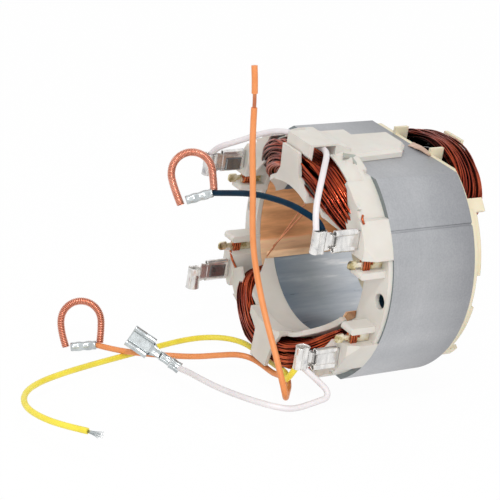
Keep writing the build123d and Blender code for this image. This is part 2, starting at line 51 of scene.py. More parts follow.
def make_camera():
    data = bpy.data.cameras.new("camera")
    data.sensor_width = SENSOR_WIDTH
    data.lens = LENS
    data.clip_start = 0.01
    data.clip_end = 20.0
    camera = bpy.data.objects.new("camera", data)
    scene.collection.objects.link(camera)
    axes = (Vector(CAMERA_RIGHT), Vector(CAMERA_UP), Vector(CAMERA_BACK))
    turn = Matrix(axes).transposed().to_4x4()
    camera.matrix_world = Matrix.Translation(Vector(CAMERA_PLACE) * MM) @ turn
    scene.camera = camera


# Node materials
def grey(level):
    return (level, level, level)


WHITE = grey(1.0)


class Material:
    """A Principled material with short calls for its nodes."""

    def __init__(self, name):
        self.material = bpy.data.materials.new(name)
        self.material.use_nodes = True
        self.tree = self.material.node_tree
        self.shader = self.tree.nodes["Principled BSDF"]
        texture = self.add("ShaderNodeTexCoord")
        self.coordinates = texture.outputs["Object"]
        self.normal = texture.outputs["Normal"]

    def add(self, kind, **settings):
        node = self.tree.nodes.new(kind)
        for key, value in settings.items():
            setattr(node, key, value)
        return node

    def link(self, source, target):
        self.tree.links.new(source, target)

    def uniform(self, **values):
        """Sets sockets of the shader that are the same all over the surface."""
        for key, value in values.items():
            self.shader.inputs[key.replace("_", " ")].default_value = value

    def noise(self, scale, detail=4.0, roughness=0.55, vector=None):
        node = self.add("ShaderNodeTexNoise")
        node.inputs["Scale"].default_value = scale
        node.inputs["Detail"].default_value = detail
        node.inputs["Roughness"].default_value = roughness
        self.link(vector or self.coordinates, node.inputs["Vector"])
        return node.outputs["Fac"]

    def stretched_noise(self, scales, detail, roughness):
        """Noise with its own scale along X, Y and Z."""
        mapping = self.add("ShaderNodeMapping")
        mapping.inputs["Scale"].default_value = scales
        self.link(self.coordinates, mapping.inputs["Vector"])
        return self.noise(1.0, detail, roughness, mapping.outputs["Vector"])

    def ramp(self, source, *stops):
        node = self.add("ShaderNodeValToRGB")
        elements = node.color_ramp.elements
        while len(elements) < len(stops):
            elements.new(0.5)
        for element, (place, colour) in zip(elements, stops):
            element.position = place
            element.color = (*colour, 1.0)
        self.link(source, node.inputs["Fac"])
        return node.outputs["Color"]

    def rescale(self, source, low, high, from_low=0.3, from_high=0.7):
        node = self.add("ShaderNodeMapRange")
        node.inputs["From Min"].default_value = from_low
        node.inputs["From Max"].default_value = from_high
        node.inputs["To Min"].default_value = low
        node.inputs["To Max"].default_value = high
        self.link(source, node.inputs["Value"])
        return node.outputs["Result"]

    def mix(self, factor, first, second, blend="MIX"):
        node = self.add("ShaderNodeMix", data_type="RGBA", blend_type=blend)
        if isinstance(factor, float):
            node.inputs["Factor"].default_value = factor
        else:
            self.link(factor, node.inputs["Factor"])
        for socket, value in ((node.inputs[6], first), (node.inputs[7], second)):
            if isinstance(value, tuple):
                socket.default_value = (*value, 1.0)
            else:
                self.link(value, socket)
        return node.outputs[2]

    def multiply(self, first, *others):
        for other in others:
            first = self.mix(1.0, first, other, "MULTIPLY")
        return first

    def split(self, vector):
        node = self.add("ShaderNodeSeparateXYZ")
        self.link(vector, node.inputs["Vector"])
        return node.outputs

    def calculate(self, operation, first, second=0.0):
        node = self.add("ShaderNodeMath", operation=operation)
        for socket, value in zip(node.inputs, (first, second)):
            if isinstance(value, float):
                socket.default_value = value
            else:
                self.link(value, socket)
        return node.outputs["Value"]

    def distance(self, x, z):
        """Distance from an axis along Y through x and z, in metres; a mirrored x counts too."""
        place = self.split(self.coordinates)
        across = self.calculate("SUBTRACT", self.calculate("ABSOLUTE", place["X"]), x)
        up = self.calculate("SUBTRACT", place["Z"], z)
        squares = (self.calculate("POWER", across, 2.0), self.calculate("POWER", up, 2.0))
        return self.calculate("SQRT", self.calculate("ADD", *squares))

    def colour(self, source):
        self.link(source, self.shader.inputs["Base Color"])

    def roughness(self, source):
        self.link(source, self.shader.inputs["Roughness"])

    def bump(self, height, strength, distance, edge=None):
        """Relief in metres; edge is the radius to which the edges look rounded."""
        node = self.add("ShaderNodeBump")
        node.inputs["Strength"].default_value = strength
        node.inputs["Distance"].default_value = distance
        self.link(height, node.inputs["Height"])
        if edge:
            bevel = self.add("ShaderNodeBevel", samples=4)
            bevel.inputs["Radius"].default_value = edge
            self.link(bevel.outputs["Normal"], node.inputs["Normal"])
        self.link(node.outputs["Normal"], self.shader.inputs["Normal"])


# Relief heights and edge radii in metres
FINE_RELIEF = 0.0001
SHEET_RELIEF = 0.00012
MOULDED_EDGE = 0.0004
SHEET_EDGE = 0.0002


def nylon(name, light, dark):
    m = Material(name)
    m.colour(m.ramp(m.noise(70.0, 3.0), (0.35, dark), (0.65, light)))
    m.roughness(m.rescale(m.noise(400.0), 0.4, 0.56))
    m.uniform(Specular_IOR_Level=0.4, Subsurface_Weight=0.15, Subsurface_Scale=0.002)
    m.bump(m.noise(900.0, 2.0), 0.06, FINE_RELIEF, MOULDED_EDGE)
    return m.material


# Places on the lamination stack in metres; a pair is where one finish, painted light or painted shade fades
# into the next
STACK_PAINTED_SHADE = (-0.004, 0.02)
STACK_PAINTED_LIGHT_LEVELS = (-0.04, 0.04)
BORE_PAINTED_LIGHT = (-0.016, 0.014)
BORE_EDGE = (0.02855, 0.02885)
SCREW_CIRCLE_RADIUS = 0.0415
SCREW_HOLE_EDGE = (0.00272, 0.0028)
INK_PLACE = (0.0231, 0.0122, 0.0391)
INK_EDGE = (0.0024, 0.0031)
INK_RAGGEDNESS = 0.0028


def stack_outside(m, cloud, sheets, grain):
    """Edges of the sheets, with bands along the stack, painted shade darker to the rear and painted light
    paler below.
    """
    base = m.ramp(cloud, (0.3, (0.362, 0.37, 0.388)), (0.7, (0.445, 0.451, 0.467)))
    lines = m.ramp(sheets, (0.3, grey(0.965)), (0.7, grey(1.02)))
    bands = m.stretched_noise((60.0, 5.0, 60.0), 3.0, 0.55)
    axial = m.ramp(bands, (0.3, (0.93, 0.935, 0.94)), (0.7, (1.07, 1.065, 1.06)))
    place = m.split(m.coordinates)
    # painted shade: the stack's outside darker towards the rear
    along = m.rescale(place["Y"], 0.0, 1.0, *STACK_PAINTED_SHADE)
    painted_shade_to_rear = m.ramp(along, (0.0, WHITE), (1.0, (0.66, 0.66, 0.67)))
    # painted light and shade by height: paler low down, a little darker just above the middle
    height = m.rescale(place["Z"], 0.0, 1.0, *STACK_PAINTED_LIGHT_LEVELS)
    painted_light_below = m.ramp(height, (0.3, (1.2, 1.195, 1.19)), (0.6, grey(0.93)), (0.85, WHITE))
    return m.multiply(base, lines, axial, grain, painted_shade_to_rear, painted_light_below)


def ink_smudge(m, surface):
    """A smudge of marking ink on the upper right of the stack."""
    gap = m.add("ShaderNodeVectorMath", operation="SUBTRACT")
    gap.inputs[1].default_value = INK_PLACE
    m.link(m.coordinates, gap.inputs[0])
    away = m.add("ShaderNodeVectorMath", operation="LENGTH")
    m.link(gap.outputs["Vector"], away.inputs[0])
    fringe = m.calculate("MULTIPLY", m.noise(900.0, 3.0), INK_RAGGEDNESS)
    ragged = m.calculate("ADD", away.outputs["Value"], fringe)
    return m.mix(m.rescale(ragged, 1.0, 0.0, *INK_EDGE), surface, (0.1, 0.13, 0.18))


def ground_bore(m, grinding_and_painted_reflection):
    """Ground steel with soft streaks along the bore that are partly grinding marks and partly painted
    reflection, with patches of painted reflection and painted light brighter to the rear.
    """
    greys = ((0.34, (0.17, 0.2, 0.235)), (0.56, (0.24, 0.27, 0.3)), (0.7, (0.4, 0.425, 0.45)))
    # painted reflection: patches where the bore is brighter
    painted_reflection_noise = m.stretched_noise((26.0, 9.0, 26.0), 2.0, 0.5)
    painted_reflection_patches = m.ramp(painted_reflection_noise, (0.4, (0.66, 0.7, 0.74)), (0.62, (1.5, 1.47, 1.44)))
    # painted light: the bore brighter towards the rear
    along = m.rescale(m.split(m.coordinates)["Y"], 0.0, 1.0, *BORE_PAINTED_LIGHT)
    painted_light_to_rear = ((0.0, (0.66, 0.72, 0.78)), (0.45, (1.05, 1.06, 1.07)), (1.0, (2.15, 2.08, 2.04)))
    return m.multiply(m.ramp(grinding_and_painted_reflection, *greys), painted_reflection_patches, m.ramp(along, *painted_light_to_rear))


def stack_steel():
    m = Material("stack_steel")
    sheets = m.stretched_noise((8.0, 2100.0, 8.0), 2.0, 0.6)
    cloud = m.noise(38.0, 6.0, 0.62)
    speckle = m.noise(1500.0, 3.0)
    # streaks along the bore: partly grinding marks and partly painted reflection; they also set the
    # roughness
    grinding_and_painted_reflection = m.stretched_noise((170.0, 22.0, 170.0), 5.0, 0.6)
    grain = m.ramp(speckle, (0.35, (0.94, 0.94, 0.945)), (0.65, (1.05, 1.05, 1.045)))
    outside = ink_smudge(m, stack_outside(m, cloud, sheets, grain))
    inside = m.rescale(m.distance(0.0, 0.0), 1.0, 0.0, *BORE_EDGE)
    # painted shade: dark navy inside the screw holes
    hole_painted_shade = m.rescale(m.distance(SCREW_CIRCLE_RADIUS, 0.0), 1.0, 0.0, *SCREW_HOLE_EDGE)
    # painted shade: the stack's faces towards its ends are darker
    facing = m.calculate("ABSOLUTE", m.split(m.normal)["Y"])
    end_face_painted_shade = m.rescale(facing, 0.0, 1.0, 0.7, 0.9)
    shade = m.mix(end_face_painted_shade, outside, m.multiply(grain, (0.215, 0.245, 0.25)))
    shade = m.mix(inside, shade, ground_bore(m, grinding_and_painted_reflection))
    m.colour(m.mix(hole_painted_shade, shade, (0.006, 0.03, 0.055)))
    m.uniform(Metallic=0.35)
    m.roughness(m.mix(inside, m.rescale(cloud, 0.42, 0.56), m.rescale(grinding_and_painted_reflection, 0.26, 0.42)))
    m.bump(m.mix(0.5, sheets, speckle), 0.08, FINE_RELIEF)
    return m.material


def enamelled_copper():
    """Enamelled wire with painted shade between the wires; the mesh says how deep each part of its surface
    lies in the bundle.
    """
    m = Material("enamelled_copper")
    tone = m.noise(120.0, 4.0, 0.6)
    enamel = ((0.3, (0.2, 0.024, 0.013)), (0.5, (0.38, 0.055, 0.02)), (0.68, (0.66, 0.13, 0.04)))
    # painted shade: wires darker the deeper they lie in the bundle
    depth = m.add("ShaderNodeAttribute", attribute_name="depth").outputs["Fac"]
    painted_shade_outer = ((0.0, WHITE), (0.25, (0.55, 0.45, 0.45)))
    deep = ((0.46, (0.09, 0.06, 0.09)), (1.0, (0.015, 0.01, 0.02)))
    m.colour(m.multiply(m.ramp(tone, *enamel), m.ramp(depth, *painted_shade_outer, *deep)))
    m.uniform(Metallic=0.95, Coat_Weight=0.12, Coat_Roughness=0.1)
    m.roughness(m.rescale(m.noise(300.0), 0.17, 0.26))
    m.bump(m.noise(500.0, 2.0), 0.06, FINE_RELIEF)
    return m.material


def bare_copper(name, light, dark, relief=0.08):
    m = Material(name)
    m.colour(m.ramp(m.noise(300.0, 3.0), (0.3, dark), (0.7, light)))
    m.uniform(Metallic=0.9)
    m.roughness(m.rescale(m.noise(700.0), 0.2, 0.3))
    m.bump(m.noise(1200.0, 2.0), relief, FINE_RELIEF)
    return m.material


def tinned_steel(name, tint=WHITE):
    m = Material(name)
    smear = m.noise(260.0, 5.0, 0.65)
    streak = m.stretched_noise((500.0, 500.0, 120.0), 3.0, 0.6)
    bright = ((0.28, (0.44, 0.44, 0.46)), (0.4, (0.72, 0.71, 0.7)), (0.66, (0.84, 0.82, 0.8)))
    wear = m.ramp(streak, (0.35, grey(0.84)), (0.6, (1.06, 1.06, 1.05)))
    m.colour(m.multiply(m.ramp(smear, *bright), wear, tint))
    m.uniform(Metallic=0.8)
    m.roughness(m.rescale(smear, 0.3, 0.12))
    m.bump(m.noise(420.0, 3.0), 0.2, SHEET_RELIEF, SHEET_EDGE)
    return m.material


def dull_brass():
    m = Material("dull_brass")
    stain = m.noise(260.0, 4.0, 0.6)
    tarnish = ((0.32, (0.14, 0.12, 0.08)), (0.42, (0.5, 0.41, 0.2)))
    clean = ((0.52, (0.78, 0.7, 0.5)), (0.68, (0.9, 0.87, 0.78)))
    m.colour(m.ramp(stain, *tarnish, *clean))
    m.uniform(Metallic=0.8)
    m.roughness(m.rescale(stain, 0.25, 0.45))
    m.bump(m.noise(600.0, 3.0), 0.08, FINE_RELIEF)
    return m.material


# Height in metres where a liner's cuff fades into its inside
CUFF_TOP = (-0.0115, -0.0105)


def slot_paper(name, tint=WHITE):
    """Kraft liner; its folded cuff at the lower pole tip is paler than its inside."""
    m = Material(name)
    fibres = m.stretched_noise((520.0, 60.0, 520.0), 6.0, 0.65)
    cloud = m.stretched_noise((90.0, 30.0, 90.0), 4.0, 0.6)
    # painted light and shade of creases: darker valleys and lighter ridges
    crease_light_and_shade = m.stretched_noise((85.0, 28.0, 150.0), 3.0, 0.5)
    base = m.ramp(cloud, (0.3, (0.74, 0.335, 0.14)), (0.7, (0.95, 0.51, 0.25)))
    streak = m.ramp(fibres, (0.32, (0.8, 0.77, 0.74)), (0.5, WHITE), (0.68, (1.16, 1.18, 1.2)))
    painted_valley_shade = ((0.34, (0.72, 0.7, 0.68)), (0.5, WHITE))
    painted_ridge_light = ((0.6, (1.16, 1.18, 1.22)), (0.68, grey(0.92)))
    inside = m.multiply(base, streak, m.ramp(crease_light_and_shade, *painted_valley_shade, *painted_ridge_light))
    cuff = m.rescale(m.split(m.coordinates)["Z"], 1.0, 0.0, *CUFF_TOP)
    m.colour(m.multiply(m.mix(cuff, inside, m.multiply(streak, (0.98, 0.65, 0.4))), tint))
    m.uniform(Specular_IOR_Level=0.3, Sheen_Weight=0.1)
    m.roughness(m.rescale(fibres, 0.5, 0.75))
    m.bump(fibres, 0.3, FINE_RELIEF)
    return m.material


def insulation(name, light, dark, roughness=0.34, painted_reflection_noise=0.45):
    m = Material(name)
    m.colour(m.ramp(m.noise(130.0, 3.0), (0.3, dark), (0.7, light)))
    m.uniform(Specular_IOR_Level=painted_reflection_noise, Subsurface_Weight=0.05, Subsurface_Scale=0.001)
    m.roughness(m.rescale(m.noise(350.0, 3.0), roughness - 0.05, roughness + 0.12))
    m.bump(m.noise(700.0, 3.0), 0.1, FINE_RELIEF)
    return m.material


# Curves, tubes and meshes; a resolution is the steps from one control point to the next
PIECE_RESOLUTION = 10
MEASURE_RESOLUTION = 24
SPRING_RESOLUTION = 16


def nurbs_curve(name, points, scale, resolution):
    """Curve whose control points are given in millimetres, times scale."""
    data = bpy.data.curves.new(name, "CURVE")
    data.dimensions = "3D"
    spline = data.splines.new("NURBS")
    spline.points.add(len(points) - 1)
    for target, point in zip(spline.points, points):
        target.co = (*(Vector(point) * scale), 1.0)
    spline.order_u = 3
    spline.use_endpoint_u = True
    spline.resolution_u = resolution
    curve = bpy.data.objects.new(name, data)
    scene.collection.objects.link(curve)
    return curve


def points_along(points, scale, resolution):
    """Points that the NURBS line of some control points passes, as close as resolution says."""
    probe = nurbs_curve("line", points, scale, resolution)
    mesh = bpy.data.meshes.new_from_object(probe)
    bpy.data.objects.remove(probe)
    return [vertex.co.copy() for vertex in mesh.vertices]


def line_length(points):
    """Length in metres of the NURBS line of a route given in millimetres."""
    line = points_along(points, MM, MEASURE_RESOLUTION)
    return sum((b - a).length for a, b in zip(line, line[1:]))


def finish_piece(piece, material):
    piece.data.materials.append(material)
    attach(piece, "root")
    return piece


def curve_piece(name, points, diameter, material):
    """Round wire along a NURBS curve, in millimetres."""
    piece = nurbs_curve(name, points, MM, PIECE_RESOLUTION)
    piece.data.bevel_depth = diameter / 2 * MM
    piece.data.bevel_resolution = 5
    piece.data.use_fill_caps = True
    return finish_piece(piece, material)


def mesh_piece(name, vertices, faces, material, smooth=True):
    mesh = bpy.data.meshes.new(name)
    mesh.from_pydata([tuple(v) for v in vertices], [], faces)
    mesh.validate()
    if smooth:
        mesh.polygons.foreach_set("use_smooth", [True] * len(mesh.polygons))
    piece = bpy.data.objects.new(name, mesh)
    scene.collection.objects.link(piece)
    return finish_piece(piece, material)


def ring_faces(count, rings, closed):
    """Quads between rings of count vertices each, in their order."""
    faces = []
    for i in range(rings - 1):
        for k in range(count if closed else count - 1):
            a, b = i * count + k, i * count + (k + 1) % count
            faces.append((a, b, b + count, a + count))
    return faces


def cap_faces(count, base, last_ring):
    """End faces of a tube whose first vertex is base and whose last ring is last_ring."""
    first = tuple(base + k for k in reversed(range(count)))
    last = tuple(base + last_ring * count + k for k in range(count))
    return [first, last]


def add_tube(vertices, faces, path, radius, sides, closed=False):
    """Adds a round tube along a path in millimetres to a mesh being built."""
    count = len(path)
    base = len(vertices)
    normal = None
    for i, point in enumerate(path):
        ahead = path[(i + 1) % count] if closed or i + 1 < count else point
        behind = path[i - 1] if closed or i else point
        tangent = (ahead - behind).normalized()
        if normal is None:
            normal = tangent.orthogonal().normalized()
        normal = (normal - tangent * normal.dot(tangent)).normalized()
        side = tangent.cross(normal)
        for k in range(sides):
            angle = 2 * math.pi * k / sides
            vertices.append((point + (normal * math.cos(angle) + side * math.sin(angle)) * radius) * MM)
    # a closed tube joins its last ring to its first one where they twist least
    shift = 0
    if closed:
        start = vertices[base] - path[0] * MM
        ring = [vertices[base + (count - 1) * sides + k] - path[-1] * MM for k in range(sides)]
        shift = max(range(sides), key=lambda k: ring[k].dot(start))
    for i in range(count if closed else count - 1):
        twist = shift if i + 1 == count else 0
        here = base + i * sides
        there = base + (i + 1) % count * sides
        for k in range(sides):
            a, b = here + (k + twist) % sides, here + (k + 1 + twist) % sides
            faces.append((a, b, there + (k + 1) % sides, there + k))
    if not closed:
        faces.extend(cap_faces(sides, base, count - 1))


def clamp(value):
    return min(max(value, 0.0), 1.0)


def power(value, exponent):
    return math.copysign(abs(value) ** exponent, value)


# Windings, turn by turn, in millimetres; a pair is a size's start and its growth over the section
WIRE = 0.82
WIRE_SIDES = 7
ROWS = 11
COLUMNS = 17
SKIN = 3
ROW_JITTER = 0.25
COLUMN_JITTER = 0.3
ROW_SEED = 13.1
COLUMN_SEED = 1.7
ARC_STEPS = 44
SLOT_RADIUS = (31.7, 5.1)
END_RADIUS = (31.2, 8.7)
NECK_HALF_WIDTH = 21.6
SLOT_END_ANGLE = math.radians(57.5)
OVERHANG_START = 18.4
FRONT_OVERHANG = (0.9, 13.4)
REAR_OVERHANG = (0.9, 13.2)
REAR_OUTER_OVERHANG = (5.9, 8.2)
REAR_OUTER_START = 0.3
SPREAD = 1.6
SPREAD_SCALES = (1.5, 3.7, 5.0)
FRONT_JOSTLE = 1.5
REAR_JOSTLE = 0.9
JOSTLE_SCALES = (1.7, 2.9, 7.0)
JOSTLE_OFFSET = 9.0
PRESSED_HEIGHT = 37.5
PRESSED_RISE = 0.75
PRESSED_REACH = 2.5
# Exponents that square an overhang's arc, across and in height, on the side of +X and of -X
PLUS_SHAPE = (0.82, 0.78)
MINUS_SHAPE = (0.98, 0.98)
SWELL_SHAPE = 0.7


def grown(size, share):
    start, growth = size
    return start + share * growth


def ripple(across, seed, side, scales, offset=0.0):
    """Smooth noise along an overhang, different for each turn and side."""
    x, y, z = scales
    return noise.noise(Vector((across * x + offset, seed * y, side * z)))


def turn_path(radial, axial, seed):
    """One turn of the upper winding; radial and axial run from 0 to 1 over its section."""
    slot_radius = grown(SLOT_RADIUS, radial)
    end_radius = grown(END_RADIUS, radial)
    inner_angle = math.asin(NECK_HALF_WIDTH / slot_radius)
    slot_angle = inner_angle + axial * (SLOT_END_ANGLE - inner_angle)
    # behind, the outer rows stay clear of the two posts of the rear plate
    rear = REAR_OUTER_OVERHANG if radial > REAR_OUTER_START else REAR_OVERHANG
    path = []
    for side, overhang, looseness in ((-1, FRONT_OVERHANG, FRONT_JOSTLE), (1, rear, REAR_JOSTLE)):
        for i in range(ARC_STEPS + 1):
            theta = math.pi * i / ARC_STEPS
            swing = side * math.cos(theta)
            across_shape, lift_shape = PLUS_SHAPE if swing > 0 else MINUS_SHAPE
            across = power(swing, across_shape)
            lift = power(math.sin(theta), lift_shape)
            spread = ripple(across, seed, side, SPREAD_SCALES) * SPREAD
            jostle = ripple(across, seed, side, JOSTLE_SCALES, JOSTLE_OFFSET) * looseness
            radius = slot_radius + (end_radius - slot_radius) * lift ** SWELL_SHAPE + spread * lift
            depth = OVERHANG_START + (grown(overhang, axial) + jostle) * lift
            angle = slot_angle * across
            height = radius * math.cos(angle)
            # under the jumper clip the bundle is pressed flat
            if side < 0 and height > PRESSED_HEIGHT:
                above = (height - PRESSED_HEIGHT) / PRESSED_REACH
                height = PRESSED_HEIGHT + PRESSED_RISE * math.tanh(above)
            path.append(Vector((radius * math.sin(angle), side * depth, height)))
    return path


# Painted shade on the wire: how the middle and the free face of the bundle darken it
BUNDLE_INNER_RADIUS = 31.5
BUNDLE_THICKNESS = 8.0
BUNDLE_MIDDLE = 0.45
RADIAL_WEIGHT = 2.2
FREE_WEIGHT = 0.35
FREE_END = 1.05
FACING_SHADE = 0.62
BURIED_SHADE = 0.77


def bundle_shade_depths(path, rings, axial):
    """Painted shade of each vertex of a turn, by how deep it lies in the bundle, from 0 outside to 1 in its
    middle.
    """
    shade_depths = []
    for i, point in enumerate(path):
        radius = math.hypot(point.x, point.z)
        across = clamp((radius - BUNDLE_INNER_RADIUS) / BUNDLE_THICKNESS)
        # out of the bundle: away from its middle in radius, and towards its free end in depth
        away = (across - BUNDLE_MIDDLE) * RADIAL_WEIGHT / radius
        free = math.copysign(FREE_WEIGHT + axial, point.y)
        outward = Vector((point.x * away, free, point.z * away)).normalized()
        buried = min(across, 1 - across, max(0.0, FREE_END - axial)) * BURIED_SHADE
        for vertex in rings[i * WIRE_SIDES:(i + 1) * WIRE_SIDES]:
            facing = (vertex / MM - point).dot(outward) / (WIRE / 2)
            shade_depths.append(clamp(0.5 - FACING_SHADE * facing + buried))
    return shade_depths


def make_winding(name, node, seed, turned):
    """Winding of single turns in place of a coil; its hidden core is left out."""
    random.seed(seed)
    vertices, faces, shade_depths = [], [], []
    for row in range(ROWS):
        for column in range(COLUMNS):
            if SKIN <= row < ROWS - SKIN and column < COLUMNS - SKIN:
                continue
            stagger = 0.5 if row % 2 else 0.0
            radial = (row + random.uniform(-ROW_JITTER, ROW_JITTER)) / (ROWS - 1)
            axial = (column + stagger + random.uniform(-COLUMN_JITTER, COLUMN_JITTER)) / (COLUMNS - 0.5)
            turn_seed = seed + row * ROW_SEED + column * COLUMN_SEED
            path = turn_path(clamp(radial), clamp(axial), turn_seed)
            if turned:
                path = [Vector((-p.x, p.y, -p.z)) for p in path]
            start = len(vertices)
            add_tube(vertices, faces, path, WIRE / 2, WIRE_SIDES, closed=True)
            shade_depths.extend(bundle_shade_depths(path, vertices[start:], axial))
    piece = mesh_piece(name, vertices, faces, copper)
    # the painted shade of the wires, kept on the mesh
    piece.data.attributes.new("depth", "FLOAT", "POINT").data.foreach_set("value", shade_depths)
    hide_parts(node)


# Springs of the brush rings, in millimetres
RING_X = Vector((0.51, 0.85, 0.14)).normalized()
RING_NORMAL = Vector((0.76, -0.52, 0.385))
RING_NORMAL = (RING_NORMAL - RING_X * RING_NORMAL.dot(RING_X)).normalized()
RING_Y = RING_NORMAL.cross(RING_X)
RING_RADIUS = 7.2
LEFT_SHOULDER = (-RING_RADIUS, -1.5)
RIGHT_SHOULDER = (RING_RADIUS, -1.0)
LEFT_BOW = -0.3
RIGHT_BOW = 0.1
ARCH_STEPS = 12
LINE_STEP = 0.05
CORE_STEP = 0.8
COIL_RADIUS = 1.2
CORE_CLEARANCE = 0.05
STEPS_PER_TURN = 14


def ring_point(centre, u, v):
    """Point of a spring ring's own plane."""
    return Vector(centre) + RING_X * u + RING_Y * v


def resample(line, step):
    """Points at even distances along a line."""
    lengths = [0.0]
    for a, b in zip(line, line[1:]):
        lengths.append(lengths[-1] + (b - a).length)
    count = max(2, int(lengths[-1] / step))
    result, j = [], 0
    for i in range(count + 1):
        want = lengths[-1] * i / count
        while j < len(line) - 2 and lengths[j + 1] < want:
            j += 1
        span = lengths[j + 1] - lengths[j]
        result.append(line[j].lerp(line[j + 1], (want - lengths[j]) / span if span else 0.0))
    return result


def knee(end, shoulder, bow):
    """Point halfway along a leg of a spring ring, moved sideways by bow."""
    return ((end[0] + shoulder[0]) / 2 + bow, (end[1] + shoulder[1]) / 2)


def horseshoe(centre, left_end, right_end):
    """Middle line of a spring ring, from the end of one leg to the end of the other."""
    flat = [left_end, knee(left_end, LEFT_SHOULDER, LEFT_BOW), LEFT_SHOULDER]
    for i in range(ARCH_STEPS + 1):
        angle = math.pi * (1 - i / ARCH_STEPS)
        flat.append((RING_RADIUS * math.cos(angle), RING_RADIUS * math.sin(angle)))
    flat += [RIGHT_SHOULDER, knee(right_end, RIGHT_SHOULDER, RIGHT_BOW), right_end]
    controls = [ring_point(centre, u, v) for u, v in flat]
    return resample(points_along(controls, 1.0, SPRING_RESOLUTION), LINE_STEP)


def make_spring(name, centre, left_end, right_end, pitch, wire):
    """Close-wound spring with a dark core inside its turns as painted shade."""
    line = horseshoe(centre, left_end, right_end)
    steps = int(LINE_STEP * (len(line) - 1) / pitch * STEPS_PER_TURN)
    path = []
    for i in range(steps + 1):
        place = i / steps * (len(line) - 2)
        j = int(place)
        point = line[j].lerp(line[j + 1], place - j)
        tangent = (line[j + 1] - line[j]).normalized()
        out = tangent.cross(RING_NORMAL).normalized()
        angle = 2 * math.pi * i / STEPS_PER_TURN
        path.append(point + (RING_NORMAL * math.cos(angle) + out * math.sin(angle)) * COIL_RADIUS)
    vertices, faces = [], []
    add_tube(vertices, faces, path, wire / 2, sides=6)
    coil_faces = len(faces)
    # painted shade: a dark core that fills the spring's turns
    add_tube(vertices, faces, resample(line, CORE_STEP), COIL_RADIUS - CORE_CLEARANCE, sides=12)
    piece = mesh_piece(name, vertices, faces, spring_wire)
    piece.data.materials.append(spring_painted_shade_core)
    for face in piece.data.polygons[coil_faces:]:
        face.material_index = 1
    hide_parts(f"{name}_ring")
    return piece


# Surroundings, in metres
FLOOR_HEIGHT = -0.0502
FLOOR_HALF_SIZE = 3.0
FLOOR_GLOW = 0.97
WORLD_STRENGTH = 0.74


def seen_rays(tree):
    """1 for what the camera sees, directly, mirrored or through glass, and 0 for light on the object."""
    path = tree.nodes.new("ShaderNodeLightPath").outputs
    seen = path["Is Camera Ray"]
    for kind in ("Is Glossy Ray", "Is Transmission Ray"):
        larger = tree.nodes.new("ShaderNodeMath")
        larger.operation = "MAXIMUM"
        tree.links.new(seen, larger.inputs[0])
        tree.links.new(path[kind], larger.inputs[1])
        seen = larger.outputs["Value"]
    return seen


def make_floor():
    corners = [(-1, -1), (1, -1), (1, 1), (-1, 1)]
    mesh = bpy.data.meshes.new("floor")
    spots = [(x * FLOOR_HALF_SIZE, y * FLOOR_HALF_SIZE, FLOOR_HEIGHT) for x, y in corners]
    mesh.from_pydata(spots, [], [(0, 1, 2, 3)])
    floor = bpy.data.objects.new("floor", mesh)
    scene.collection.objects.link(floor)
    m = Material("floor_white")
    m.uniform(Base_Color=(0.9, 0.9, 0.9, 1.0), Roughness=0.8)
    glow = m.add("ShaderNodeEmission")
    glow.inputs["Strength"].default_value = 1.0
    blend = m.add("ShaderNodeMixShader")
    m.link(m.calculate("MULTIPLY", seen_rays(m.tree), FLOOR_GLOW), blend.inputs["Fac"])
    m.link(m.shader.outputs["BSDF"], blend.inputs[1])
    m.link(glow.outputs["Emission"], blend.inputs[2])
    m.link(blend.outputs["Shader"], m.tree.nodes["Material Output"].inputs["Surface"])
    mesh.materials.append(m.material)


def make_world():
    world = bpy.data.worlds.new("studio")
    world.use_nodes = True
    scene.world = world
    tree = world.node_tree
    background = tree.nodes["Background"]
    background.inputs["Color"].default_value = (1.0, 1.0, 1.0, 1.0)
    strength = tree.nodes.new("ShaderNodeMapRange")
    strength.inputs["To Min"].default_value = WORLD_STRENGTH
    strength.inputs["To Max"].default_value = 1.0
    tree.links.new(seen_rays(tree), strength.inputs["Value"])
    tree.links.new(strength.outputs["Result"], background.inputs["Strength"])


def area_light(name, place, target, size, energy, narrow=None):
    """Soft lamp; narrow is the direction along which its width lies, where that matters."""
    data = bpy.data.lights.new(name, "AREA")
    data.shape = "RECTANGLE"
    data.size, data.size_y = size
    data.energy = energy
    light = bpy.data.objects.new(name, data)
    scene.collection.objects.link(light)
    direction = (Vector(target) - Vector(place)).normalized()
    if narrow:
        width = (Vector(narrow) - direction * direction.dot(Vector(narrow))).normalized()
        turn = Matrix((width, (-direction).cross(width), -direction)).transposed().to_4x4()
        light.matrix_world = Matrix.Translation(place) @ turn
    else:
        light.location = place
        light.rotation_euler = direction.to_track_quat("-Z", "Y").to_euler()


make_camera()
make_world()
make_floor()
area_light("key", (0.15, -0.75, 0.95), (0.0, -0.02, 0.0), (0.7, 0.5), 0.5)
area_light("side", (0.95, -0.1, 0.45), (0.0, 0.0, 0.0), (0.5, 0.7), 0.3)
area_light("strip", (0.47, -0.345, 0.74), (0.022, -0.029, 0.028), (0.055, 0.34), 2.8, (0.76, 0.24, -0.61))
area_light("front", (0.5, -0.36, 0.3), (0.0, -0.03, 0.0), (0.09, 0.09), 0.55)

front_nylon = nylon("front_nylon", (0.69, 0.658, 0.605), (0.635, 0.6, 0.545))
